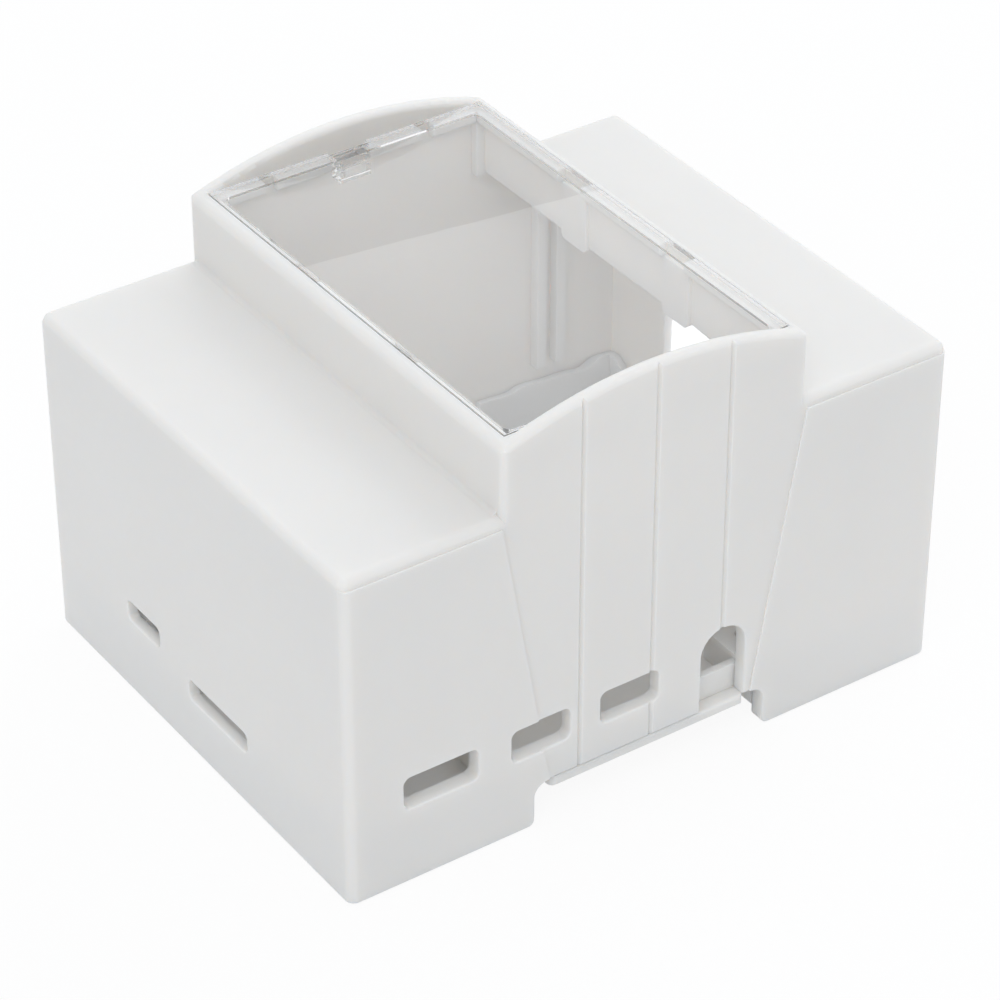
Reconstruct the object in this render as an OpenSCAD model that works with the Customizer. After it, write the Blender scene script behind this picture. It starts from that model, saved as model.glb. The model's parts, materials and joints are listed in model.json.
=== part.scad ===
// Single-board computer case for a 35 mm rail: base, cover, clear window and sliding rail latch.
// Millimetres, Z up, X across the rail, Y along it. The origin is the middle of the underside.

/* [Case] */
// Width of the case, across the rail
case_w = 90; // [88.5:0.5:104]
// Depth of the case, along the rail
case_d = 71; // [69:0.5:84]
// Height of the case at the top of its arches
case_h = 62; // [59.5:0.1:67]
// Height of the low shoulders
shoulder_h = 48.4; // [44:0.2:52]
// Thickness of the side walls
side_wall = 1.5; // [1.3:0.1:1.8]
// Thickness of the end walls, which hold the ports
end_wall = 2.2; // [1.9:0.1:2.6]
// Thickness of the shoulder tops
shoulder_t = 1.8; // [1.4:0.1:2.2]
// Radius of the outer edges
edge_r = 1.3; // [0.8:0.1:1.6]

/* [Tower] */
// Width of the tower between the shoulders
tower_w = 45; // [43:0.5:50]
// Rise of the arched end walls above the long walls
arch_rise = 3.5; // [2.5:0.1:4.5]
// Radius of the tower's long top edges
deck_edge_r = 1.5; // [1.2:0.1:2]
// Radius of the tower's upright corners and of the arches' outer edges
tower_edge_r = 0.9; // [0.6:0.1:1]
// Radius of the arches' inner edges
arch_inner_r = 0.9; // [0.5:0.1:0.9]
// Radius of the hollow corner where tower and shoulder meet
foot_r = 0.8; // [0.5:0.1:1.4]
// Radius of the same corner on the inside
inner_foot_r = 0.7; // [0.5:0.1:1.5]

/* [End face lines] */
// Height of the two raised panels on each end face
panel_rise = 0.25; // [0.15:0.05:0.4]
// Distance from the raised panels to the shoulders' round edges
panel_margin = 0.1; // [0.05:0.05:0.4]
// Width of the plain strip between the raised panels at its foot
strip_foot_w = 31; // [26:0.5:34]
// Extra width of that strip beside the tower
strip_head_gap = 0.4; // [0.2:0.1:0.8]
// Number of upright grooves on each end face
groove_n = 3; // [1:1:3]
// Distance between grooves
groove_pitch = 10.9; // [9:0.1:12]
// Width of a groove
groove_w = 0.8; // [0.5:0.1:1.2]
// Depth of a groove
groove_depth = 0.4; // [0.2:0.05:0.5]

/* [Window] */
// Width of the ledge that carries the window
ledge_w = 1.3; // [1.1:0.1:2.4]
// Height of the ledge
ledge_t = 2.3; // [1.5:0.1:2.8]
// Radius of the ledge's inner edges
ledge_edge_r = 0.6; // [0.3:0.05:0.6]
// Thickness of the window's rim
window_t = 1.5; // [1.2:0.1:2]
// Depth of the step under the window
plug_depth = 0.7; // [0.4:0.1:1.2]
// Corner radius of the step under the window
plug_r = 1.2; // [0.8:0.1:2]
// Radius of the window's top edges
window_edge_r = 0.3; // [0.2:0.05:0.5]
// Width of a snap tab
tab_w = 4.6; // [4:0.1:6]
// Thickness of a snap tab
tab_t = 2; // [1.6:0.1:2.2]
// Wall of a snap tab, which is hollow
tab_wall = 0.7; // [0.6:0.1:0.9]
// Depth of the notch in the window's edge over a snap tab
tab_notch_d = 0.7; // [0.4:0.1:0.9]
// Reach of a snap tab below the ledge's top
tab_drop = 3.5; // [3:0.1:5]
// Height of the bead on a snap tab
tab_bead = 0.22; // [0.15:0.01:0.25]
// Radius of the bead on a snap tab
tab_bead_r = 0.6; // [0.4:0.1:0.8]
// Length of a gap in the long ledges
ledge_gap = 5.2; // [3.6:0.2:6]
// Distance between the two gaps of a long ledge
ledge_gap_pitch = 22; // [18:0.5:26]
// Width of a gap in the short ledges
end_gap = 1.9; // [1.5:0.1:2.5]
// Distance between the two gaps of a short ledge
end_gap_pitch = 24; // [20:0.5:28]
// Width of the pad under a long ledge's gap
pad_w = 5.4; // [4:0.2:8]
// Height of that pad above the wall
pad_t = 0.5; // [0.3:0.1:0.8]
// Reach of that pad below the shoulder's underside
pad_drop = 0.3; // [0.1:0.1:1]
// Radius of that pad's lower corners
pad_r = 0.8; // [0.4:0.1:1.5]

/* [Board] */
// Gap from the left wall to the board
board_side_gap = 0.75; // [0.5:0.05:0.8]
// Gap from the front wall to the board
board_front_gap = 0.2; // [0.2:0.05:0.4]
// Height of the board's underside
board_z = 10.5; // [10.3:0.1:11]
// Thickness of the board
board_t = 1.5; // [1.2:0.1:1.6]
// Distance from the board's edges to its first hole
hole_inset = 3.5; // [3.5:0.1:4]
// Hole spacing across
hole_span_x = 58; // [58:0.5:60]
// Hole spacing front to back
hole_span_y = 49; // [48:0.5:49]
// Side of a board post
post_w = 7; // [5:0.5:7]
// Diameter of the screw hole in a post
post_bore = 2.1; // [1.8:0.1:2.5]
// Depth of the screw hole in a post
post_bore_depth = 5.5; // [4:0.5:5.5]

/* [Ports] */
// Radius of a port's corners
port_r = 1; // [0.5:0.1:1.4]
// Height of the front ports
port_h = 4.7; // [4.4:0.1:5.5]
// Height of the front ports' middle above the board
port_rise = 1.65; // [1.5:0.05:2]
// Middle of the power port, from the board's left edge
power_x = 11.2; // [10.5:0.1:12]
// Width of the power port
power_w = 10.8; // [10:0.1:12]
// Middle of the first screen port, from the board's left edge
screen_a_x = 26; // [25:0.1:27]
// Middle of the second screen port, from the board's left edge
screen_b_x = 39.5; // [38.5:0.1:40.5]
// Width of a screen port
screen_w = 8.9; // [8:0.1:9.5]
// Middle of the jack slot, from the board's left edge
jack_x = 54; // [53.5:0.1:54.5]
// Width of the jack slot
jack_w = 6.9; // [6.4:0.1:7.4]
// Height of the jack slot's middle above the board
jack_rise = 2.65; // [2.4:0.05:3]
// Middle of the card slot, from the board's front edge
card_y = 28; // [27:0.5:29]
// Width of the card slot
card_w = 13.9; // [13:0.1:15]
// Height of the card slot and of the indicator slot
slot_h = 3; // [2.6:0.1:3.4]
// Radius of the two slots' corners
slot_r = 0.8; // [0.4:0.1:1.2]
// Drop of the card slot's middle below the board
card_drop = 0.85; // [0.6:0.05:1.1]
// Middle of the indicator slot, from the board's front edge
lamp_y = 45.9; // [44:0.1:47]
// Width of the indicator slot
lamp_w = 7.9; // [7:0.1:9]
// Rise of the indicator slot's middle above the board
lamp_rise = 0.95; // [0.8:0.05:1.2]
// Middle of the first tall port on the right, from the board's front edge
tall_a_y = 9; // [8.5:0.1:9.5]
// Middle of the second tall port on the right, from the board's front edge
tall_b_y = 27; // [26:0.1:28]
// Width of a tall port
tall_w = 14.6; // [14:0.1:15.5]
// Height of a tall port
tall_h = 17; // [16:0.1:18]
// Middle of the wide port on the right, from the board's front edge
wide_y = 45.75; // [45:0.05:46.5]
// Width of the wide port
wide_w = 17; // [16:0.1:18]
// Height of the wide port
wide_h = 15; // [14:0.1:16]
// Drop of the right ports' sills below the board's top
sill_drop = 0.5; // [0.2:0.1:0.8]

/* [Board guides] */
// Distance of a pair of upright guides from the middle
guide_x = 31.9; // [29:0.1:33]
// Width of one guide rib
guide_rib = 1.6; // [1.2:0.1:2]
// Gap between the two ribs of a pair
guide_slot = 1.6; // [1.2:0.1:2]
// Reach of a guide rib from the wall
guide_reach = 1.6; // [1:0.1:1.8]
// Height of the foot of the back guides
guide_back_z = 12.5; // [12.5:0.5:20]
// Height of the foot of the front guides
guide_front_z = 20; // [18:0.5:26]

/* [Rail channel] */
// Width of the rail that goes in
rail_w = 35; // [34:0.5:36]
// Thickness of the rail's flange
rail_t = 1; // [1:0.1:1.5]
// Free space at each side of the rail
rail_gap = 0.25; // [0.15:0.05:0.4]
// Height of the face that sits on the rail
rail_z = 4.5; // [4.3:0.1:5]
// Thickness of the plate over the rail
plate_t = 1.5; // [1.2:0.1:1.8]
// Thickness of the channel's walls
channel_wall = 1.6; // [1.3:0.1:2]
// Size of the slope at the channel's mouth
channel_lead = 1.9; // [1:0.1:2]
// Radius of the cover's notch at its upper corners
notch_r = 1.9; // [1:0.1:2.4]
// Radius of the cover's notch at its mouth
notch_mouth_r = 1; // [0.6:0.1:1.4]
// Length of one fixed hook
hook_l = 10; // [8:0.5:12]
// Distance between the two fixed hooks
hook_pitch = 44; // [40:1:48]
// Reach of the hooks and of the latch under the rail
hook_reach = 2.3; // [1.5:0.1:2.5]
// Thickness of a hook at its tip
hook_tip = 1; // [0.8:0.1:1.4]

/* [Base] */
// Thickness of the base's floors
floor_t = 1.6; // [1.3:0.1:1.9]
// Height of the upstand walls
upstand_h = 9.75; // [9:0.05:10]
// Thickness of the upstand walls
upstand_t = 1.05; // [0.9:0.05:1.4]
// Corner radius of the base
base_r = 0.8; // [0.5:0.1:1]
// Width of the lips at front and back
lip_w = 30.2; // [28:0.2:31]
// Corner radius of the lips
lip_r = 1.2; // [0.6:0.1:1.5]
// Radius of a lip's long edges
lip_edge_r = 0.4; // [0.2:0.05:0.5]
// Gap between a lip's edge and the end face
lip_gap = 0.35; // [0.3:0.05:0.5]
// Gap in the upstands beside the channel
tongue_gap = 5; // [4:0.5:5]
// Extra width of the upstand's notch behind the card slot
card_gap = 1; // [0.5:0.1:2]
// Length of the snap beads on the base's sides
bead_l = 16; // [10:1:20]
// Drop of the snap beads below the upstands' top
bead_drop = 2.4; // [2:0.1:3]
// Height of the snap beads
bead_h = 0.12; // [0.08:0.01:0.14]
// Radius of the snap beads
bead_r = 0.7; // [0.5:0.1:0.9]

/* [Rail latch] */
// Width of the latch
latch_w = 16; // [14:0.5:18]
// Thickness of the latch
latch_t = 2.3; // [2:0.1:2.4]
// Way the latch slides out
latch_travel = 3; // [2.8:0.1:3.2]
// Thickness of the latch's tip
latch_tip = 1.1; // [0.8:0.1:1.4]
// Length of the opening in the latch
latch_open_l = 11; // [10.5:0.5:12]
// Width of the opening in the latch
latch_open_w = 11; // [9:0.5:11]
// Distance from the channel to the opening in the latch
latch_open_x = 6.5; // [6:0.5:8]
// Thickness of the leaf spring
leaf_t = 0.9; // [0.7:0.1:1.1]
// Distance from the opening's end to the leaf spring's feet
leaf_set_back = 1; // [0.6:0.1:1.5]
// Rise of the leaf spring's bow
leaf_rise = 2.6; // [2:0.1:3]
// Thickness of the fixed stop that the leaf spring meets
stop_l = 1.4; // [1:0.1:1.6]
// Width of that fixed stop
stop_w = 3.6; // [3:0.1:5]
// Distance from the channel's wall to the stop lugs
lug_set_back = 6; // [5:0.5:8]
// Length of a stop lug on the latch
lug_l = 3; // [2:0.5:4]
// Reach of a stop lug
lug_reach = 0.9; // [0.6:0.1:1]
// Width of the tool slot in the latch
tool_w = 5; // [4:0.5:7]
// Length of the tool slot in the latch
tool_l = 1.6; // [1.2:0.1:2]
// Thickness of the roof and walls around the latch
guide_t = 1.5; // [1.3:0.1:1.8]
// Reach of the rails under the latch
under_reach = 1.3; // [1:0.1:1.6]
// Thickness of the rails under the latch
under_t = 0.7; // [0.5:0.05:0.7]

/* [Clearances] */
// Gap between base and cover
fit_gap = 0.2; // [0.2:0.01:0.3]
// Gap round the window
window_gap = 0.15; // [0.1:0.01:0.2]
// Gap between the window's rim and the ledge
rim_gap = 0.05; // [0.03:0.01:0.1]
// Gap between the window's step and the ledge
plug_gap = 0.2; // [0.15:0.05:0.3]
// Gap between a snap tab and the end wall
tab_gap = 0.35; // [0.3:0.01:0.45]
// Gap between a snap tab and the ledge, at each side
tab_side_gap = 0.7; // [0.3:0.1:0.9]
// Gap round the latch
latch_gap = 0.2; // [0.15:0.01:0.3]
// Gap between the cover's notch and the base's lip
seat_gap = 0.15; // [0.05:0.01:0.2]

/* [Hidden] */
$fn = 96;
arch_steps = 360;
// Overlap of features that are one moulding
weld = 0.3;
// Overshoot of a cut past a face
over = 1;
shell_colour = [0.93, 0.93, 0.92];
window_colour = [0.84, 0.87, 0.92, 0.35];

half_w = case_w / 2;
half_d = case_d / 2;
inner_w = case_w - 2 * side_wall;
inner_d = case_d - 2 * end_wall;
shoulder_under = shoulder_h - shoulder_t;

face_d = case_d - 2 * panel_rise;
tower_in_w = tower_w - 2 * side_wall;
deck_h = case_h - arch_rise;
flat_half = tower_w / 2 - deck_edge_r;
arch_r = (flat_half * flat_half + arch_rise * arch_rise) / (2 * arch_rise);
arch_z = case_h - arch_r;
corner_z = arch_z + sqrt(pow(arch_r - deck_edge_r, 2) - pow(flat_half, 2));
arch_half_angle = asin(flat_half / (arch_r - deck_edge_r));
arch_skin = 0.02;

window_z = deck_h - window_t;
ledge_z = window_z - rim_gap;
ledge_foot = ledge_z - ledge_t;
ledge_in_w = tower_in_w - 2 * ledge_w;
ledge_in_d = inner_d - 2 * ledge_w;
window_w = tower_in_w - 2 * window_gap;
window_d = inner_d - 2 * window_gap;
tab_y = inner_d / 2 - tab_gap - tab_t / 2;
tab_room = tab_w + 2 * tab_side_gap;

board_x = -half_w + side_wall + board_side_gap;
board_y = -half_d + end_wall + board_front_gap;
board_top = board_z + board_t;
hole_x = board_x + hole_inset;
hole_y = board_y + hole_inset;
front_ports = [
    [power_x, power_w],
    [screen_a_x, screen_w],
    [screen_b_x, screen_w]
];
right_ports = [
    [tall_a_y, tall_w, tall_h],
    [tall_b_y, tall_w, tall_h],
    [wide_y, wide_w, wide_h]
];

base_w = inner_w - 2 * fit_gap;
base_d = inner_d - 2 * fit_gap;
channel_w = rail_w + 2 * rail_gap;
plate_top = rail_z + plate_t;
notch_top = plate_top + seat_gap;
hook_top = rail_z - rail_t - latch_gap;
lip_y = half_d - lip_gap;

latch_top = hook_top - latch_gap / 2;
latch_z = latch_top - latch_t;
latch_in = channel_w / 2 - hook_reach;
latch_out = half_w - latch_gap * 2;
latch_roof = latch_top + latch_gap;
guide_half = latch_w / 2 + latch_gap;
open_x = channel_w / 2 + latch_open_x;
leaf_r = (pow(latch_open_w / 2, 2) + pow(leaf_rise, 2)) / (2 * leaf_rise);
leaf_x = open_x + leaf_set_back;
stop_x = leaf_x + leaf_rise + leaf_t / 2 + latch_travel + latch_gap;
lug_x = channel_w / 2 + channel_wall + lug_set_back;
bead_z = upstand_h - bead_drop;

// Flat shapes

module along_x(length) {
    rotate([90, 0, 90]) linear_extrude(length, center = true) children();
}

module along_y(length) {
    rotate([90, 0, 0]) linear_extrude(length, center = true) children();
}

// Quarter of a disc, the section of a round edge
module quarter(r) {
    intersection() {
        circle(r);
        square(r);
    }
}

// What a round edge leaves of a square corner
module cove(r) {
    difference() {
        square(r);
        translate([r, r]) circle(r);
    }
}

module rounded_rect(w, d, r) {
    square([w - 2 * r, d], center = true);
    square([w, d - 2 * r], center = true);
    for (x = [-1, 1], y = [-1, 1])
        translate([x * (w / 2 - r), y * (d / 2 - r)]) circle(r);
}

// Block with round upright corners and round top edges
module pillow_block(w, d, h, r) {
    linear_extrude(h - r) rounded_rect(w, d, r);
    translate([0, 0, h - r]) {
        linear_extrude(r) square([w - 2 * r, d - 2 * r], center = true);
        for (a = [0, 180]) rotate([0, 0, a]) {
            translate([w / 2 - r, 0, 0]) along_y(d - 2 * r) quarter(r);
            translate([0, d / 2 - r, 0]) along_x(w - 2 * r) quarter(r);
            translate([w / 2 - r, d / 2 - r, 0]) rotate_extrude(angle = 90) quarter(r);
            translate([r - w / 2, d / 2 - r, 0])
                rotate([0, 0, 90]) rotate_extrude(angle = 90) quarter(r);
        }
    }
}

// Outside of the cover

// Front view of the tower: an arc that runs into the round long edges
module tower_face() {
    slope = tan(arch_half_angle);
    foot_half = (shoulder_under - arch_z) * slope;
    head_half = (case_h + over - arch_z) * slope;
    intersection() {
        translate([0, arch_z]) circle(arch_r, $fn = arch_steps);
        polygon([
            [-foot_half, shoulder_under],
            [foot_half, shoulder_under],
            [head_half, case_h + over],
            [-head_half, case_h + over]
        ]);
    }
    translate([-tower_w / 2, shoulder_under]) square([tower_w, corner_z - shoulder_under]);
    for (s = [-1, 1])
        translate([s * flat_half, corner_z]) circle(deck_edge_r);
}

// Drum whose round rims give the arched edges of the end walls
module arch_drum() {
    drum_r = arch_r + arch_skin;
    rotate_extrude($fn = arch_steps) intersection() {
        rounded_rect(2 * drum_r, face_d, tower_edge_r);
        translate([0, -half_d]) square([drum_r + over, case_d]);
    }
}

module tower_block() {
    intersection() {
        along_y(case_d) tower_face();
        translate([0, 0, shoulder_under - over]) linear_extrude(case_h)
            rounded_rect(tower_w, face_d, tower_edge_r);
        translate([0, 0, arch_z]) rotate([90, 0, 0]) arch_drum();
    }
}

// Front view of the plain strip that tapers down an end face between its raised panels
module strip_face() {
    head_half = tower_w / 2 + strip_head_gap;
    foot_half = strip_foot_w / 2;
    lean = (head_half - foot_half) / (shoulder_h - plate_top);
    low_half = foot_half - lean * (plate_top + over);
    high_half = head_half + lean * over;
    polygon([
        [-low_half, -over],
        [low_half, -over],
        [high_half, shoulder_h + over],
        [-high_half, shoulder_h + over]
    ]);
}

// Lower block, whose end faces carry the raised panels
module panel_block() {
    difference() {
        linear_extrude(shoulder_h - edge_r - panel_margin) rounded_rect(case_w, case_d, edge_r);
        for (s = [-1, 1])
            translate([0, s * (face_d / 2 + over), 0]) along_y(2 * over) strip_face();
    }
}

module cover_outside() {
    pillow_block(case_w, face_d, shoulder_h, edge_r);
    panel_block();
    tower_block();
    for (s = [0, 1]) mirror([s, 0, 0])
        translate([tower_w / 2, 0, shoulder_h]) along_y(face_d - 2 * edge_r) cove(foot_r);
}

// Inside of the cover

module cover_inside() {
    translate([-inner_w / 2, -inner_d / 2, -over])
        cube([inner_w, inner_d, shoulder_under + over]);
    translate([-tower_in_w / 2, -inner_d / 2, 0])
        cube([tower_in_w, inner_d, case_h + over]);
    for (s = [0, 1]) mirror([s, 0, 0])
        translate([tower_in_w / 2, 0, shoulder_under]) along_y(inner_d) cove(inner_foot_r);
}

// Round inner edges of the arched end walls, above the window
module arch_noses() {
    ring_r = arch_r + arch_skin - arch_inner_r;
    nose_y = inner_d / 2 + arch_inner_r;
    intersection() {
        translate([-half_w, -half_d, deck_h]) cube([case_w, case_d, case_h]);
        for (a = [90, -90]) translate([0, 0, arch_z]) rotate([a, 0, 0])
            rotate_extrude($fn = arch_steps) difference() {
                translate([ring_r, nose_y - arch_inner_r - over])
                    square(arch_inner_r + over);
                translate([ring_r, nose_y]) circle(arch_inner_r);
            }
    }
}

// Upright grooves with sloping flanks
module grooves() {
    mouth = groove_w / 2 * (1 + over / groove_depth);
    for (i = [0 : groove_n - 1], s = [0, 1]) mirror([0, s, 0])
        translate([(i - (groove_n - 1) / 2) * groove_pitch, face_d / 2, -over])
            linear_extrude(case_h + 2 * over)
                polygon([[0, -groove_depth], [mouth, over], [-mouth, over]]);
}

// Cut-out of the cover where the rail passes
module rail_notch() {
    rise = notch_top + notch_r + over;
    along_y(case_d + 2 * over)
        translate([0, notch_top - rise / 2]) rounded_rect(channel_w, rise, notch_r);
    for (s = [0, 1]) mirror([s, 0, 0])
        translate([channel_w / 2, 0, 0]) along_y(case_d + 2 * over) cove(notch_mouth_r);
}

module ports() {
    through = 2 * (end_wall + over);
    translate([0, -half_d, board_top]) along_y(through) {
        for (p = front_ports)
            translate([board_x + p[0], port_rise]) rounded_rect(p[1], port_h, port_r);
        translate([board_x + jack_x, jack_rise]) {
            circle(d = jack_w);
            translate([-jack_w / 2, -board_top]) square([jack_w, board_top]);
        }
    }
    translate([-half_w, board_y, 0]) along_x(through) {
        translate([card_y, board_z - card_drop]) rounded_rect(card_w, slot_h, slot_r);
        translate([lamp_y, board_top + lamp_rise]) rounded_rect(lamp_w, slot_h, slot_r);
    }
    translate([half_w, board_y, board_top - sill_drop]) along_x(through)
        for (p = right_ports)
            translate([p[0], p[2] / 2]) rounded_rect(p[1], p[2], port_r);
}

// Opening in the right wall for the latch's outer end
module latch_gate() {
    translate([half_w - side_wall - over, -guide_half - latch_gap, -over])
        cube([side_wall + 2 * over, 2 * (guide_half + latch_gap), latch_roof + latch_gap + over]);
}

// What the ledge's two round edges leave
module ledge_nose() {
    translate([0, ledge_foot]) cove(ledge_edge_r);
    translate([0, ledge_z]) rotate(-90) cove(ledge_edge_r);
}

// Shelf that carries the window, with gaps for the moulding tool and for the snap tabs
module ledge() {
    difference() {
        translate([-tower_in_w / 2 - weld, -inner_d / 2 - weld, ledge_foot])
            cube([tower_in_w + 2 * weld, inner_d + 2 * weld, ledge_t]);
        translate([-ledge_in_w / 2, -ledge_in_d / 2, ledge_foot - over])
            cube([ledge_in_w, ledge_in_d, ledge_t + 2 * over]);
        for (s = [0, 1]) {
            mirror([s, 0, 0]) translate([ledge_in_w / 2, 0, 0])
                along_y(ledge_in_d + 2 * ledge_edge_r) ledge_nose();
            mirror([0, s, 0]) translate([0, ledge_in_d / 2, 0])
                along_x(ledge_in_w + 2 * ledge_edge_r) ledge_nose();
        }
        ledge_gaps();
    }
}

module ledge_gaps() {
    tall = ledge_t + 2 * over;
    for (s = [-1, 1]) {
        for (y = [-1, 1])
            translate([s * tower_in_w / 2, y * ledge_gap_pitch / 2, ledge_z])
                cube([4 * ledge_w, ledge_gap, 2 * tall], center = true);
        for (x = [-1, 1])
            translate([x * end_gap_pitch / 2, s * inner_d / 2, ledge_z])
                cube([end_gap, 4 * ledge_w, 2 * tall], center = true);
        translate([0, s * inner_d / 2, ledge_z])
            cube([tab_room, 4 * ledge_w, 2 * tall], center = true);
    }
}

module gap_pads() {
    foot = shoulder_under - pad_drop;
    tall = ledge_foot - foot;
    for (s = [0, 1], y = [-1, 1]) mirror([s, 0, 0])
        translate([(tower_in_w - pad_t + weld) / 2, y * ledge_gap_pitch / 2, foot])
            along_x(pad_t + weld) {
                translate([0, tall / 2]) rounded_rect(pad_w, tall, pad_r);
                translate([-pad_w / 2, tall / 2]) square([pad_w, tall / 2]);
            }
}

// Upright ribs in the tower's inner corners, under the ledge
module corner_ribs() {
    for (s = [0, 1], t = [0, 1]) mirror([s, 0, 0]) mirror([0, t, 0])
        translate([ledge_in_w / 2, ledge_in_d / 2, shoulder_under])
            cube([ledge_w + weld, ledge_w + weld, ledge_foot + weld - shoulder_under]);
}

// Pairs of upright ribs that hold a second board
module board_guides() {
    for (s = [-1, 1], r = [-1, 1]) {
        x = s * guide_x + r * (guide_rib + guide_slot) / 2 - guide_rib / 2;
        translate([x, inner_d / 2 - guide_reach, guide_back_z])
            cube([guide_rib, guide_reach + weld, shoulder_under + weld - guide_back_z]);
        translate([x, -inner_d / 2 - weld, guide_front_z])
            cube([guide_rib, guide_reach + weld, shoulder_under + weld - guide_front_z]);
    }
}

module cover() {
    color(shell_colour) {
        difference() {
            cover_outside();
            cover_inside();
            rail_notch();
            grooves();
            ports();
            latch_gate();
            arch_noses();
        }
        ledge();
        gap_pads();
        corner_ribs();
        board_guides();
    }
}

// Base

module base_body() {
    linear_extrude(floor_t) rounded_rect(base_w, base_d, base_r);
    difference() {
        linear_extrude(upstand_h) rounded_rect(base_w, base_d, base_r);
        translate([0, 0, -over]) linear_extrude(upstand_h + 2 * over)
            square([base_w - 2 * upstand_t, base_d - 2 * upstand_t], center = true);
        upstand_gaps();
    }
    plate_w = channel_w + 2 * channel_wall;
    translate([-plate_w / 2, -base_d / 2, 0]) cube([plate_w, base_d, plate_top]);
    lips();
    for (x = [0, 1], y = [0, 1])
        translate([hole_x + x * hole_span_x - post_w / 2, hole_y + y * hole_span_y - post_w / 2, 0])
            cube([post_w, post_w, board_z]);
    translate([channel_w / 2, -guide_half - guide_t, 0])
        cube([base_w / 2 - channel_w / 2, 2 * (guide_half + guide_t), latch_roof + guide_t]);
}

// Plate whose ends are the lips at front and back
module lips() {
    intersection() {
        translate([0, 0, rail_z]) linear_extrude(plate_t) rounded_rect(lip_w, 2 * lip_y, lip_r);
        along_x(lip_w + 2 * over)
            translate([0, rail_z + plate_t / 2]) rounded_rect(2 * lip_y, plate_t, lip_edge_r);
    }
}

// Gaps beside the tongues, and the notch behind the card slot
module upstand_gaps() {
    for (s = [0, 1], t = [0, 1]) mirror([s, 0, 0]) mirror([0, t, 0])
        translate([lip_w / 2 + fit_gap, base_d / 2 - upstand_t - over, plate_top])
            cube([tongue_gap, upstand_t + 2 * over, upstand_h]);
    card_z = board_z - card_drop - slot_h / 2 - card_gap;
    translate([-base_w / 2 - over, board_y + card_y - card_w / 2 - card_gap, card_z])
        cube([upstand_t + 2 * over, card_w + 2 * card_gap, upstand_h]);
}

module channel_space() {
    translate([-channel_w / 2, -half_d - over, -over])
        cube([channel_w, case_d + 2 * over, rail_z + over]);
    wall_x = channel_w / 2;
    mouth_x = wall_x + channel_lead;
    along_y(case_d + 2 * over)
        polygon([
            [-mouth_x, 0],
            [-wall_x, channel_lead],
            [wall_x, channel_lead],
            [mouth_x, 0],
            [mouth_x, -over],
            [-mouth_x, -over]
        ]);
}

// Way for the latch, and the pockets where its lugs stop
module latch_space() {
    translate([channel_w / 2 - over, -guide_half, -over])
        cube([half_w, 2 * guide_half, latch_roof + over]);
    for (s = [0, 1]) mirror([0, s, 0])
        translate([lug_x - latch_gap, 0, latch_z - latch_gap])
            cube([
                lug_l + latch_travel + 2 * latch_gap,
                guide_half + lug_reach,
                latch_roof + latch_gap - latch_z
            ]);
}

// Rails that hold the latch up, and the stop for its spring
module latch_rails() {
    start = channel_w / 2 + channel_lead + latch_gap;
    for (s = [0, 1]) mirror([0, s, 0])
        translate([start, guide_half - under_reach, 0])
            cube([base_w / 2 - start, under_reach + weld, under_t]);
    translate([stop_x, -stop_w / 2, latch_z])
        cube([stop_l, stop_w, latch_roof + weld - latch_z]);
}

module rail_hooks() {
    tip = channel_w / 2 - hook_reach;
    root = channel_w / 2 + weld;
    for (s = [-1, 1])
        translate([0, s * hook_pitch / 2, 0]) along_y(hook_l)
            polygon([
                [-root, hook_top],
                [-tip, hook_top],
                [-tip, hook_top - hook_tip],
                [-root, channel_lead - weld]
            ]);
}

module snap_beads() {
    for (s = [0, 1]) mirror([s, 0, 0]) for (y = [-1, 1])
        translate([base_w / 2 + bead_h - bead_r, y * base_d / 4 - bead_l / 2, bead_z])
            rotate([-90, 0, 0]) cylinder(r = bead_r, h = bead_l);
}

module post_bores() {
    for (x = [0, 1], y = [0, 1])
        translate([hole_x + x * hole_span_x, hole_y + y * hole_span_y, board_z - post_bore_depth])
            cylinder(d = post_bore, h = post_bore_depth + over);
}

module base() {
    color(shell_colour) {
        difference() {
            base_body();
            channel_space();
            latch_space();
            post_bores();
        }
        latch_rails();
        rail_hooks();
        snap_beads();
    }
}

// Window

module window_tabs() {
    for (s = [0, 1]) mirror([0, s, 0]) translate([0, tab_y, ledge_z - tab_drop]) {
        difference() {
            translate([-tab_w / 2, -tab_t / 2, 0]) cube([tab_w, tab_t, tab_drop + weld]);
            translate([tab_wall - tab_w / 2, -tab_t / 2 - tab_wall, tab_wall])
                cube([tab_w - 2 * tab_wall, tab_t, tab_drop - plug_depth - 2 * tab_wall]);
        }
        translate([0, tab_t / 2 + tab_bead - tab_bead_r, tab_bead_r])
            rotate([0, 90, 0]) cylinder(r = tab_bead_r, h = tab_w, center = true);
    }
}

module window() {
    color(window_colour) {
        difference() {
            translate([0, 0, window_z]) pillow_block(window_w, window_d, window_t, window_edge_r);
            for (s = [-1, 1])
                translate([0, s * window_d / 2, ledge_z])
                    cube([tab_room, 2 * tab_notch_d, 4 * window_t], center = true);
        }
        translate([0, 0, ledge_z - plug_depth])
            linear_extrude(plug_depth + weld)
                rounded_rect(ledge_in_w - 2 * plug_gap, ledge_in_d - 2 * plug_gap, plug_r);
        window_tabs();
    }
}

// Rail latch

// Plan of the bowed spring that crosses the latch's opening
module leaf() {
    intersection() {
        translate([leaf_x + leaf_rise - leaf_r, 0]) difference() {
            circle(leaf_r + leaf_t / 2);
            circle(leaf_r - leaf_t / 2);
        }
        translate([open_x, -latch_open_w / 2 - weld])
            square([latch_open_l, latch_open_w + 2 * weld]);
    }
}

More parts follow.
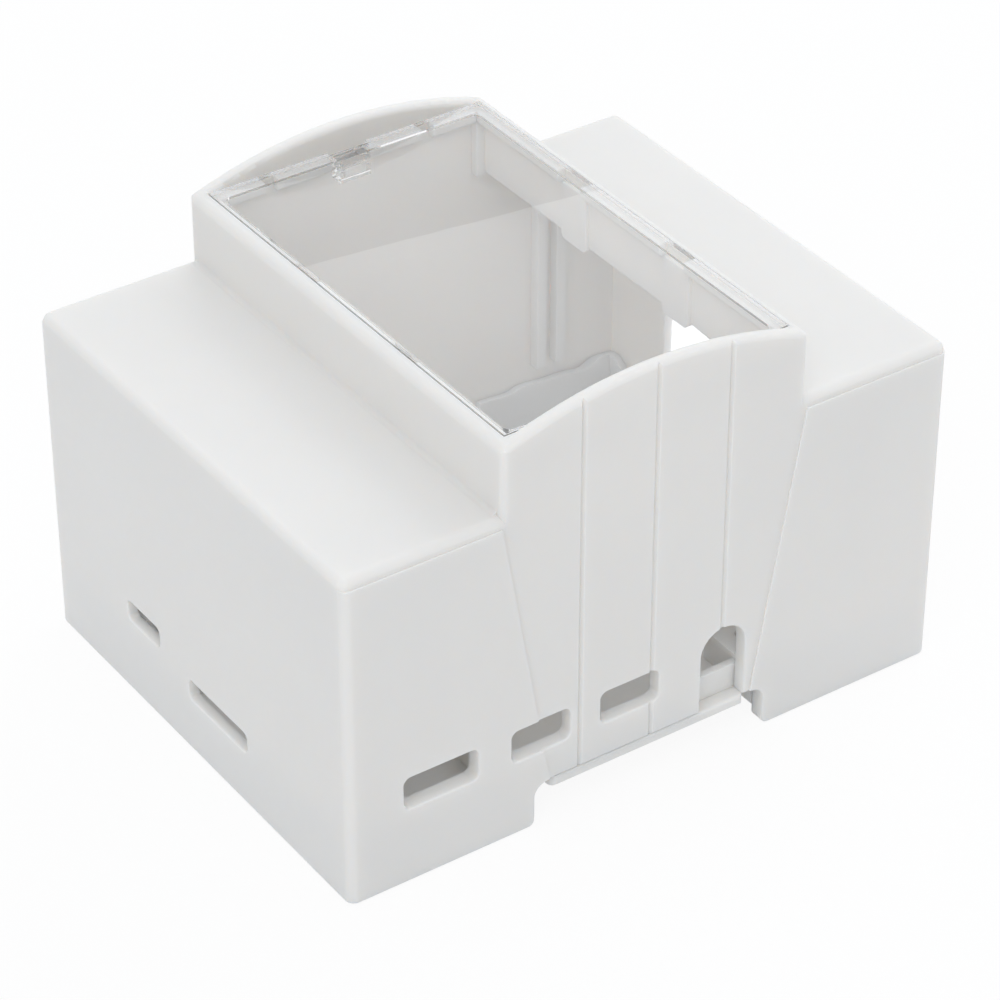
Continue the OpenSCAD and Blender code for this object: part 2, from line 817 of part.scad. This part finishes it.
module latch_plan() {
    difference() {
        translate([latch_in, -latch_w / 2]) square([latch_out - latch_in, latch_w]);
        translate([open_x, -latch_open_w / 2]) square([latch_open_l, latch_open_w]);
        translate([latch_out - 2 * tool_l, -tool_w / 2]) square([tool_l, tool_w]);
    }
    leaf();
    lug_span = latch_w + 2 * lug_reach;
    for (s = [-1, 1])
        translate([lug_x, s * (lug_span - lug_reach - weld) / 2 - (lug_reach + weld) / 2])
            square([lug_l, lug_reach + weld]);
}

module rail_latch() {
    nose = hook_reach;
    color(shell_colour) difference() {
        translate([0, 0, latch_z]) linear_extrude(latch_t) latch_plan();
        along_y(latch_w + 2 * over)
            polygon([
                [latch_in - over, latch_top - latch_tip],
                [latch_in, latch_top - latch_tip],
                [latch_in + nose, latch_z],
                [latch_in + nose, latch_z - over],
                [latch_in - over, latch_z - over]
            ]);
    }
}

base();
cover();
window();
rail_latch();
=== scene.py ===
"""Rail-mount computer case in a white studio: moulded shells, clear window, sprung latch."""

from __future__ import annotations

import json
import logging
import math
from dataclasses import dataclass
from enum import Enum
from typing import Any

import bmesh
import bpy
from mathutils import Euler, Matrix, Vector

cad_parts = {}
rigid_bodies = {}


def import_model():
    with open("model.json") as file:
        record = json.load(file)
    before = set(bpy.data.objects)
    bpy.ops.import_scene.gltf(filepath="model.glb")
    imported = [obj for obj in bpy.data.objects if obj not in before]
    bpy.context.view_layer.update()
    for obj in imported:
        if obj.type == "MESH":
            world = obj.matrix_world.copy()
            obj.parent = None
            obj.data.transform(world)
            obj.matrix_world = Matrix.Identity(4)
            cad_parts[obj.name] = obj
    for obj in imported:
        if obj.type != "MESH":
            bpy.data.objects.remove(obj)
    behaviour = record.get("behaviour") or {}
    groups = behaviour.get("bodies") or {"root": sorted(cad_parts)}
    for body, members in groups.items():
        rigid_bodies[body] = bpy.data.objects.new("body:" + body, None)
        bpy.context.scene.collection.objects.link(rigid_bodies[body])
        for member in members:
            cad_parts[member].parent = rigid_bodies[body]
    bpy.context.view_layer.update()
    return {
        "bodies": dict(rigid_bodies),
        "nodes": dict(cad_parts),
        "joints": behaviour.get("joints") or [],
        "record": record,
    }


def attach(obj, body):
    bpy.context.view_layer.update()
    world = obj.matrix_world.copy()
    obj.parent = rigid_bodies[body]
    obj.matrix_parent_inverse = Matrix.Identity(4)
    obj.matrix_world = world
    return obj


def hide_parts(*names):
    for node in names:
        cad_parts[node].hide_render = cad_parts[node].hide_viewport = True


LOG = logging.getLogger("rail_case")
MM = 0.001

Colour = tuple[float, float, float]
Point = tuple[float, float, float]
Socket = bpy.types.NodeSocket

WHITE: Colour = (1.0, 1.0, 1.0)
STUDIO_TINT: Colour = (0.978, 1.0, 1.03)

# Points that the lamps face, in metres
FLOOR_CENTRE: Point = (0.0, 0.0, 0.0)
CASE_MIDDLE: Point = (0.0, 0.0, 0.05)
PANE_CENTRE: Point = (0.0, 0.0, 0.0585)

# Width and depth
SIDE_AXES = (0, 1)


class Slot(Enum):
    """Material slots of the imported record."""

    WHITE = "white_plastic"
    CLEAR = "clear_plastic"


class Ray(Enum):
    """Kinds of ray that a material can tell apart."""

    CAMERA = "Is Camera Ray"
    GLOSSY = "Is Glossy Ray"
    TRANSMISSION = "Is Transmission Ray"
    SHADOW = "Is Shadow Ray"
    DIFFUSE = "Is Diffuse Ray"


class Pairing(Enum):
    """Ways to make one value of two."""

    LARGER = "MAXIMUM"
    PRODUCT = "MULTIPLY"


SEE_WHITE = (Ray.CAMERA, Ray.GLOSSY, Ray.TRANSMISSION)
GO_STRAIGHT = (Ray.SHADOW, Ray.DIFFUSE)


class Sheet:
    """Node tree with short ways to add nodes and links."""

    NOISE_LOW = 0.3
    NOISE_HIGH = 0.7

    def __init__(self, tree: bpy.types.NodeTree) -> None:
        """Starts from an empty tree.

        Args:
            tree: Node tree to fill.
        """
        self.tree = tree
        tree.nodes.clear()

    def add(
        self, kind: str, inputs: dict[str | int, Any] | None = None, **values: Any
    ) -> bpy.types.Node:
        """Adds a node.

        Args:
            kind: Node type.
            inputs: Values of unlinked inputs, by name or number.
            values: Node properties by name.

        Returns:
            The new node.
        """
        node = self.tree.nodes.new(kind)
        for name, value in values.items():
            setattr(node, name, value)
        for key, value in (inputs or {}).items():
            node.inputs[key].default_value = value
        return node

    def join(self, source: Socket, target: Socket) -> None:
        """Links an output to an input."""
        self.tree.links.new(source, target)

    def pair(self, way: Pairing, first: Socket, second: Socket) -> Socket:
        """Makes one value of two.

        Args:
            way: How they are paired.
            first: One value.
            second: The other value.

        Returns:
            The result.
        """
        node = self.add("ShaderNodeMath", operation=way.value)
        self.join(first, node.inputs[0])
        self.join(second, node.inputs[1])
        return node.outputs["Value"]

    def noise(self, place: Socket, grain: float, octaves: float) -> Socket:
        """Adds a noise field.

        Args:
            place: Coordinates to read.
            grain: Size of one grain, in metres.
            octaves: Octaves of finer noise.

        Returns:
            The field's value, about 0 to 1.
        """
        node = self.add("ShaderNodeTexNoise", {"Scale": 1.0 / grain, "Detail": octaves})
        self.join(place, node.inputs["Vector"])
        return node.outputs["Fac"]

    def spread(self, value: Socket, low: float, high: float) -> Socket:
        """Maps the middle of a noise field to a range.

        Args:
            value: Field to map.
            low: Result where the field is low.
            high: Result where the field is high.

        Returns:
            The mapped value.
        """
        source = {"From Min": self.NOISE_LOW, "From Max": self.NOISE_HIGH}
        node = self.add("ShaderNodeMapRange", {**source, "To Min": low, "To Max": high})
        self.join(value, node.inputs["Value"])
        return node.outputs["Result"]

    def bump(self, height: Socket, strength: float, depth: float) -> Socket:
        """Adds a bump.

        Args:
            height: Height field.
            strength: Share of the bump that shows.
            depth: Height of the field's full range, in metres.

        Returns:
            The bumped normal.
        """
        node = self.add("ShaderNodeBump", {"Strength": strength, "Distance": depth})
        self.join(height, node.inputs["Height"])
        return node.outputs["Normal"]

    def any_of(self, rays: tuple[Ray, ...]) -> Socket:
        """Adds a test for kinds of ray.

        Args:
            rays: Kinds to look for.

        Returns:
            1 for a ray of one of these kinds, and else 0.
        """
        path = self.add("ShaderNodeLightPath")
        found = path.outputs[rays[0].value]
        for ray in rays[1:]:
            found = self.pair(Pairing.LARGER, found, path.outputs[ray.value])
        return found

    def mix(self, share: Socket, first: Socket, second: Socket) -> Socket:
        """Mixes two shaders.

        Args:
            share: Share of the second shader, 0 to 1.
            first: Shader that is seen at 0.
            second: Shader that is seen at 1.

        Returns:
            The mixed shader.
        """
        node = self.add("ShaderNodeMixShader")
        self.join(share, node.inputs["Fac"])
        self.join(first, node.inputs[1])
        self.join(second, node.inputs[2])
        return node.outputs["Shader"]

    def show(self, shader: Socket, output: str = "ShaderNodeOutputMaterial") -> None:
        """Makes a shader the tree's result."""
        self.join(shader, self.add(output).inputs["Surface"])


def new_material(name: str) -> tuple[bpy.types.Material, Sheet]:
    """Makes a material with an empty tree.

    Args:
        name: Name of the finish.

    Returns:
        The material and its tree.
    """
    made = bpy.data.materials.new(name)
    made.use_nodes = True
    return made, Sheet(made.node_tree)


def put(name: str, data: bpy.types.ID) -> bpy.types.Object:
    """Puts an object in the scene.

    Args:
        name: Name of the object.
        data: Its mesh, camera or lamp.

    Returns:
        The object, at the origin.
    """
    made = bpy.data.objects.new(name, data)
    bpy.context.scene.collection.objects.link(made)
    return made


def facing(ahead: Vector) -> Euler:
    """Returns the turn that makes a camera or a lamp face a direction."""
    return ahead.to_track_quat("-Z", "Y").to_euler()


@dataclass(frozen=True)
class MouldedFinish:
    """Fine matte surface of a moulded white shell.

    Cloud, sheen and grain are noise in tone, roughness and height. Seep is how far light
    spreads in the plastic, and its share for red, green and blue.
    """

    name: str
    pale: Colour
    deep: Colour
    rough_low: float
    rough_high: float
    ior: float = 1.5
    cloud_mm: float = 24.0
    cloud_octaves: float = 3.0
    sheen_mm: float = 1.6
    sheen_octaves: float = 2.0
    grain_mm: float = 0.22
    grain_octaves: float = 1.0
    grain_depth_mm: float = 0.012
    grain_strength: float = 0.4
    seep_mm: float = 2.0
    seep: Colour = (1.0, 0.9, 0.8)

    def material(self) -> bpy.types.Material:
        """Builds the finish.

        Returns:
            The material, read in object coordinates.
        """
        made, sheet = new_material(self.name)
        place = sheet.add("ShaderNodeTexCoord").outputs["Object"]
        plastic = sheet.add(
            "ShaderNodeBsdfPrincipled",
            {
                "IOR": self.ior,
                "Subsurface Weight": 1.0,
                "Subsurface Radius": self.seep,
                "Subsurface Scale": self.seep_mm * MM,
            },
        )
        ends = {"A": (*self.deep, 1.0), "B": (*self.pale, 1.0)}
        tone = sheet.add("ShaderNodeMix", ends, data_type="RGBA")
        cloud = sheet.noise(place, self.cloud_mm * MM, self.cloud_octaves)
        sheet.join(sheet.spread(cloud, 0.0, 1.0), tone.inputs["Factor"])
        sheet.join(tone.outputs["Result"], plastic.inputs["Base Color"])
        sheen = sheet.noise(place, self.sheen_mm * MM, self.sheen_octaves)
        rough = sheet.spread(sheen, self.rough_low, self.rough_high)
        sheet.join(rough, plastic.inputs["Roughness"])
        grain = sheet.noise(place, self.grain_mm * MM, self.grain_octaves)
        skin = sheet.bump(grain, self.grain_strength, self.grain_depth_mm * MM)
        sheet.join(skin, plastic.inputs["Normal"])
        sheet.show(plastic.outputs["BSDF"])
        return made


@dataclass(frozen=True)
class ClearFinish:
    """Clear polished plastic with the faint waves of a moulded pane.

    Ripples start and reach their full depth at two places along Y, and elsewhere the wave
    share of them is left. Shade is the light that gets through to matt surfaces.
    """

    name: str
    tint: Colour
    shade: Colour
    ior: float = 1.49
    ripple_mm: float = 8.0
    ripple_octaves: float = 1.0
    ripple_from_mm: float = -18.0
    ripple_to_mm: float = -32.0
    ripple_depth_mm: float = 0.045
    ripple_strength: float = 1.0
    wave_share: float = 0.03

    def material(self) -> bpy.types.Material:
        """Builds the finish.

        Returns:
            The material, which bends what is seen and lets the lamps through.
        """
        made, sheet = new_material(self.name)
        pane = sheet.add(
            "ShaderNodeBsdfPrincipled",
            {
                "Base Color": (*self.tint, 1.0),
                "IOR": self.ior,
                "Roughness": 0.0,
                "Transmission Weight": 1.0,
            },
        )
        skin = sheet.bump(self._waves(sheet), self.ripple_strength, self.ripple_depth_mm * MM)
        sheet.join(skin, pane.inputs["Normal"])
        through = sheet.add("ShaderNodeBsdfTransparent", {"Color": (*self.shade, 1.0)})
        straight = sheet.any_of(GO_STRAIGHT)
        sheet.show(sheet.mix(straight, pane.outputs["BSDF"], through.outputs["BSDF"]))
        return made

    def _waves(self, sheet: Sheet) -> Socket:
        """Adds the flow marks of the moulding, which grow towards the front edge.

        Args:
            sheet: Tree to add to.

        Returns:
            Height of the marks.
        """
        place = sheet.add("ShaderNodeTexCoord").outputs["Object"]
        parts = sheet.add("ShaderNodeSeparateXYZ")
        sheet.join(place, parts.inputs["Vector"])
        near = sheet.add(
            "ShaderNodeMapRange",
            {
                "From Min": self.ripple_from_mm * MM,
                "From Max": self.ripple_to_mm * MM,
                "To Min": self.wave_share,
            },
            interpolation_type="SMOOTHSTEP",
        )
        sheet.join(parts.outputs["Y"], near.inputs["Value"])
        marks = sheet.noise(place, self.ripple_mm * MM, self.ripple_octaves)
        return sheet.pair(Pairing.PRODUCT, near.outputs["Result"], marks)


COVER_WHITE = MouldedFinish(
    "cover_white",
    pale=(0.81, 0.799, 0.779),
    deep=(0.798, 0.787, 0.767),
    rough_low=0.46,
    rough_high=0.56,
)
BASE_WHITE = MouldedFinish(
    "base_white",
    pale=(0.8, 0.789, 0.769),
    deep=(0.786, 0.775, 0.755),
    rough_low=0.44,
    rough_high=0.54,
)
LATCH_WHITE = MouldedFinish(
    "latch_white",
    pale=(0.804, 0.793, 0.776),
    deep=(0.788, 0.777, 0.76),
    rough_low=0.36,
    rough_high=0.46,
)
WINDOW_CLEAR = ClearFinish("window_clear", tint=(0.98, 0.983, 0.99), shade=(0.97, 0.97, 0.97))


class MouldingTree:
    """Node tree that smooths a solid's round edges and gives it its finish."""

    GEOMETRY = "Geometry"
    CREASE = "Crease Angle"
    FINISH = "Finish"

    def __init__(self) -> None:
        """Builds the tree once, for all mouldings."""
        self.group = bpy.data.node_groups.new("moulding", "GeometryNodeTree")
        face = self.group.interface
        for name, kind in (
            (self.GEOMETRY, "NodeSocketGeometry"),
            (self.CREASE, "NodeSocketFloat"),
            (self.FINISH, "NodeSocketMaterial"),
        ):
            face.new_socket(name, in_out="INPUT", socket_type=kind)
        face.new_socket(self.GEOMETRY, in_out="OUTPUT", socket_type="NodeSocketGeometry")
        self._fill(Sheet(self.group))

    def _fill(self, sheet: Sheet) -> None:
        """Adds the nodes.

        Args:
            sheet: The tree to fill.
        """
        start = sheet.add("NodeGroupInput")
        soft = sheet.add("GeometryNodeSetShadeSmooth", domain="FACE")
        sheet.join(start.outputs[self.GEOMETRY], soft.inputs["Geometry"])
        angle = sheet.add("GeometryNodeInputMeshEdgeAngle")
        sharp = sheet.add("FunctionNodeCompare", data_type="FLOAT", operation="GREATER_THAN")
        sheet.join(angle.outputs["Unsigned Angle"], sharp.inputs[0])
        sheet.join(start.outputs[self.CREASE], sharp.inputs[1])
        hard = {"Shade Smooth": False}
        crease = sheet.add("GeometryNodeSetShadeSmooth", hard, domain="EDGE")
        sheet.join(soft.outputs["Geometry"], crease.inputs["Geometry"])
        sheet.join(sharp.outputs["Result"], crease.inputs["Selection"])
        real = sheet.add("GeometryNodeRealizeInstances")
        sheet.join(crease.outputs["Geometry"], real.inputs["Geometry"])
        paint = sheet.add("GeometryNodeSetMaterial")
        sheet.join(real.outputs["Geometry"], paint.inputs["Geometry"])
        sheet.join(start.outputs[self.FINISH], paint.inputs["Material"])
        end = sheet.add("NodeGroupOutput")
        sheet.join(paint.outputs["Geometry"], end.inputs[self.GEOMETRY])

    def key(self, name: str) -> str:
        """Returns the identifier of a named input."""
        items = self.group.interface.items_tree
        return next(i.identifier for i in items if i.name == name and i.in_out == "INPUT")


@dataclass(frozen=True)
class EdgeRing:
    """Round edge of an opening or a plate, made crisper than in its solid.

    Half sizes and top give the corner that the edge rounds. Share is the part of the
    solid's radius that is kept.
    """

    half_w_mm: float
    half_d_mm: float
    top_mm: float
    radius_mm: float
    share: float
    opening: bool
    slack_mm: float = 0.001

    def tighten(self, shape: bmesh.types.BMesh) -> None:
        """Shrinks the edge's radius and keeps the corner that it rounds.

        Args:
            shape: Mesh whose points are moved.
        """
        halves = (self.half_w_mm, self.half_d_mm)
        side = 1.0 if self.opening else -1.0
        for point in shape.verts:
            down = self.top_mm - point.co.z / MM
            away = [side * (abs(point.co[i]) / MM - halves[i]) for i in SIDE_AXES]
            beside = not self.opening and min(away) < -self.slack_mm
            near = [i for i in SIDE_AXES if self._in_round(away[i])]
            if beside or not near or not self._in_round(down):
                continue
            for i in near:
                place = (halves[i] + side * away[i] * self.share) * MM
                point.co[i] = math.copysign(place, point.co[i])
            point.co.z = (self.top_mm - down * self.share) * MM

    def _in_round(self, depth_mm: float) -> bool:
        """Tells whether a depth from the corner lies within the rounding."""
        return -self.slack_mm <= depth_mm <= self.radius_mm + self.slack_mm


@dataclass(frozen=True)
class Moulding:
    """One moulded piece of the case, dressed from its solid."""

    node: str
    piece: str
    slot: Slot
    finish: MouldedFinish | ClearFinish
    rings: tuple[EdgeRing, ...] = ()
    weld_mm: float = 0.0005
    flat_deg: float = 0.4
    crease_deg: float = 28.0
    face_weight: int = 100

    def build(self, frame: dict[str, Any], tree: MouldingTree) -> bpy.types.Object:
        """Makes the dressed piece and puts it in its solid's place.

        Args:
            tree: Tree that smooths and gives the finish.

        Returns:
            The finished piece.
        """
        made = put(self.piece, self._joined(frame["nodes"][self.node].data))
        change = made.modifiers.new("moulding", "NODES")
        change.node_group = tree.group
        change[tree.key(tree.CREASE)] = math.radians(self.crease_deg)
        change[tree.key(tree.FINISH)] = self.finish.material()
        level = made.modifiers.new("level", "WEIGHTED_NORMAL")
        level.keep_sharp = True
        level.weight = self.face_weight
        self._settle(made)
        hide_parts(self.node)
        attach(made, self.node)
        return made

    def _joined(self, solid: bpy.types.Mesh) -> bpy.types.Mesh:
        """Joins a copy of the solid's loose triangles to whole faces.

        Args:
            solid: The solid's mesh, which stays as it is.

        Returns:
            The new mesh, with its edges finished.
        """
        shape = bmesh.new()
        shape.from_mesh(solid)
        bmesh.ops.remove_doubles(shape, verts=shape.verts, dist=self.weld_mm * MM)
        flat = math.radians(self.flat_deg)
        bmesh.ops.dissolve_limit(shape, angle_limit=flat, verts=shape.verts, edges=shape.edges)
        self._finish_edges(shape)
        mesh = bpy.data.meshes.new(self.piece)
        shape.to_mesh(mesh)
        shape.free()
        return mesh

    def _finish_edges(self, shape: bmesh.types.BMesh) -> None:
        """Gives each ring of edges its real radius.

        Args:
            shape: The piece's joined faces.
        """
        for ring in self.rings:
            ring.tighten(shape)

    def _settle(self, made: bpy.types.Object) -> None:
        """Turns the modified shape into a plain mesh.

        Args:
            made: Piece whose modifiers are settled and removed.
        """
        graph = bpy.context.evaluated_depsgraph_get()
        mesh = bpy.data.meshes.new_from_object(made.evaluated_get(graph), depsgraph=graph)
        mesh.name = self.piece
        made.modifiers.clear()
        made.data = mesh


@dataclass(frozen=True)
class CoverShell(Moulding):
    """Cover, whose port rims are rounded as a mould leaves them.

    A rim lies below the rim top, within the skin's depth of the outermost plane, and turns
    by the sharp angle or more into a wall of at least the wall's depth.
    """

    rim_mm: float = 0.3
    rim_steps: int = 3
    rim_profile: float = 0.5
    rim_top_mm: float = 40.0
    skin_mm: float = 0.5
    wall_mm: float = 1.2
    sharp_deg: float = 50.0

    def _finish_edges(self, shape: bmesh.types.BMesh) -> None:
        """Rounds the rims of ports, slots and rail notch too.

        Args:
            shape: The cover's joined faces.
        """
        super()._finish_edges(shape)
        half = tuple(max(abs(v.co[axis]) for v in shape.verts) for axis in SIDE_AXES)
        shape.normal_update()
        rims = [e for e in shape.edges if self._is_rim(e, half)]
        bmesh.ops.bevel(
            shape,
            geom=rims,
            offset=self.rim_mm * MM,
            offset_type="OFFSET",
            segments=self.rim_steps,
            profile=self.rim_profile,
            affect="EDGES",
            loop_slide=False,
        )
        LOG.info("%s: %d rim edges rounded", self.piece, len(rims))

    def _is_rim(self, edge: bmesh.types.BMEdge, half: tuple[float, ...]) -> bool:
        """Tells whether an edge lies between an outer face and the wall of a cut-out.

        Args:
            edge: Edge to test.
            half: Half of the cover's width and depth, in metres.

        Returns:
            True for a rim.
        """
        if len(edge.link_faces) != 2 or max(v.co.z for v in edge.verts) > self.rim_top_mm * MM:
            return False
        if not edge.is_convex or edge.calc_face_angle() < math.radians(self.sharp_deg):
            return False
        for axis in SIDE_AXES:
            if min(abs(v.co[axis]) for v in edge.verts) < half[axis] - self.skin_mm * MM:
                continue
            spans = [self._span(face, axis) for face in edge.link_faces]
            if min(spans) < self.skin_mm * MM and max(spans) > self.wall_mm * MM:
                return True
        return False

    @staticmethod
    def _span(face: bmesh.types.BMFace, axis: int) -> float:
        """Returns how far a face reaches along an axis."""
        places = [v.co[axis] for v in face.verts]
        return max(places) - min(places)


LEDGE_EDGE = EdgeRing(
    half_w_mm=19.7, half_d_mm=32.0, top_mm=56.95, radius_mm=0.6, share=0.25, opening=True
)
PANE_EDGE = EdgeRing(
    half_w_mm=20.85, half_d_mm=33.15, top_mm=58.5, radius_mm=0.3, share=0.2, opening=False
)

CASE = (
    Moulding("base", "base_tray", Slot.WHITE, BASE_WHITE),
    CoverShell("cover", "cover_shell", Slot.WHITE, COVER_WHITE, rings=(LEDGE_EDGE,)),
    Moulding("window", "clear_window", Slot.CLEAR, WINDOW_CLEAR, rings=(PANE_EDGE,)),
    Moulding("rail_latch", "sliding_latch", Slot.WHITE, LATCH_WHITE),
)


@dataclass(frozen=True)
class PhotoCamera:
    """Camera that stands where the photographer's stood.

    Place, angles and focal length were solved from the case's straight edges.
    """

    place_mm: Point = (-236.57, -345.59, 317.51)
    azimuth_deg: float = 34.55
    elevation_deg: float = 35.23
    focal_px: float = 3966.28
    image_px: float = 1000.0
    sensor_mm: float = 36.0
    clip_near: float = 0.02
    clip_far: float = 20.0

    def build(self) -> None:
        """Makes the scene's camera."""
        data = bpy.data.cameras.new("photo_camera")
        data.sensor_width = self.sensor_mm
        data.lens = self.focal_px / self.image_px * self.sensor_mm
        data.clip_start = self.clip_near
        data.clip_end = self.clip_far
        camera = put("photo_camera", data)
        turn = math.radians(self.azimuth_deg)
        dip = math.radians(self.elevation_deg)
        level = math.cos(dip)
        ahead = Vector((math.sin(turn) * level, math.cos(turn) * level, -math.sin(dip)))
        camera.location = Vector(self.place_mm) * MM
        camera.rotation_euler = facing(ahead)
        bpy.context.scene.camera = camera


@dataclass(frozen=True)
class SoftBox:
    """Large soft lamp that faces a point near the case, in metres."""

    name: str
    place: Point
    aim: Point
    width: float
    depth: float
    radiance: float
    mirrored: bool = False
    colour: Colour = STUDIO_TINT

    def build(self) -> None:
        """Makes the lamp, which shows in mirror-like surfaces only where that is asked for."""
        data = bpy.data.lights.new(self.name, "AREA")
        data.shape = "RECTANGLE"
        data.size = self.width
        data.size_y = self.depth
        data.energy = self.radiance * math.pi * self.width * self.depth
        data.color = self.colour
        lamp = put(self.name, data)
        lamp.location = self.place
        lamp.rotation_euler = facing(Vector(self.aim) - Vector(self.place))
        lamp.visible_glossy = self.mirrored
        lamp.visible_transmission = False


@dataclass(frozen=True)
class Studio:
    """White floor, even surrounding light and soft boxes.

    Floor white is the share of plain white in the floor as the camera sees it, and sky the
    strength of the even light.
    """

    floor_half: float = 4.0
    floor_drop: float = 0.0002
    floor_colour: Colour = (0.93, 0.93, 0.93)
    floor_white: float = 0.91
    sky: float = 0.61
    sky_colour: Colour = STUDIO_TINT
    matt_bounces: int = 6
    clear_bounces: int = 16
    boxes: tuple[SoftBox, ...] = (
        SoftBox(
            "overhead_box",
            place=(0.1, 0.0, 1.6),
            aim=FLOOR_CENTRE,
            width=1.6,
            depth=1.6,
            radiance=0.4,
        ),
        SoftBox(
            "key_box",
            place=(-1.0, -1.0, 1.4),
            aim=CASE_MIDDLE,
            width=1.3,
            depth=1.3,
            radiance=1.9,
        ),
        SoftBox(
            "right_box",
            place=(1.5, 0.5, 1.2),
            aim=CASE_MIDDLE,
            width=1.4,
            depth=1.2,
            radiance=1.55,
        ),
        SoftBox(
            "rear_strip",
            place=(0.1625, 1.1708, 0.982),
            aim=PANE_CENTRE,
            width=1.7,
            depth=0.217,
            radiance=1.0,
            mirrored=True,
        ),
        SoftBox(
            "rear_card",
            place=(0.83, 1.18, 0.95),
            aim=PANE_CENTRE,
            width=0.6,
            depth=0.5,
            radiance=0.85,
            mirrored=True,
        ),
    )

    def build(self) -> None:
        """Makes floor, surroundings and lamps."""
        self._floor()
        self._sky()
        for box in self.boxes:
            box.build()
        scene = bpy.context.scene
        scene.view_settings.view_transform = "Standard"
        scene.cycles.diffuse_bounces = self.matt_bounces
        scene.cycles.glossy_bounces = self.clear_bounces
        scene.cycles.transmission_bounces = self.clear_bounces
        scene.cycles.max_bounces = self.matt_bounces + self.clear_bounces

    def _floor(self) -> None:
        """Makes the pale floor, which keeps the case's shadow."""
        half = self.floor_half
        mesh = bpy.data.meshes.new("studio_floor")
        corners = [(-half, -half), (half, -half), (half, half), (-half, half)]
        mesh.from_pydata([(x, y, -self.floor_drop) for x, y in corners], [], [(0, 1, 2, 3)])
        floor = put("studio_floor", mesh)
        made, sheet = new_material("studio_floor")
        paint = sheet.add("ShaderNodeBsdfDiffuse", {"Color": (*self.floor_colour, 1.0)})
        glow = sheet.add("ShaderNodeEmission")
        product = Pairing.PRODUCT.value
        share = sheet.add("ShaderNodeMath", {1: self.floor_white}, operation=product)
        sheet.join(sheet.any_of(SEE_WHITE), share.inputs[0])
        seen = (paint.outputs["BSDF"], glow.outputs["Emission"])
        sheet.show(sheet.mix(share.outputs["Value"], *seen))
        mesh.materials.append(made)

    def _sky(self) -> None:
        """Makes the even light from all round, which looks plain white."""
        world = bpy.data.worlds.new("studio")
        bpy.context.scene.world = world
        world.use_nodes = True
        sheet = Sheet(world.node_tree)
        even = {"Strength": self.sky, "Color": (*self.sky_colour, 1.0)}
        light = sheet.add("ShaderNodeBackground", even)
        white = sheet.add("ShaderNodeBackground", {"Color": (*WHITE, 1.0)})
        seen = (light.outputs["Background"], white.outputs["Background"])
        sheet.show(sheet.mix(sheet.any_of(SEE_WHITE), *seen), "ShaderNodeOutputWorld")


def main() -> None:
    """Builds the dressed case and its studio."""
    logging.basicConfig(level=logging.INFO, format="%(message)s")
    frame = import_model()
    PhotoCamera().build()
    Studio().build()
    tree = MouldingTree()
    for moulding in CASE:
        made = moulding.build(frame, tree)
        LOG.info("%s: %d faces on %s", made.name, len(made.data.polygons), moulding.node)


if __name__ == "__main__":
    main()
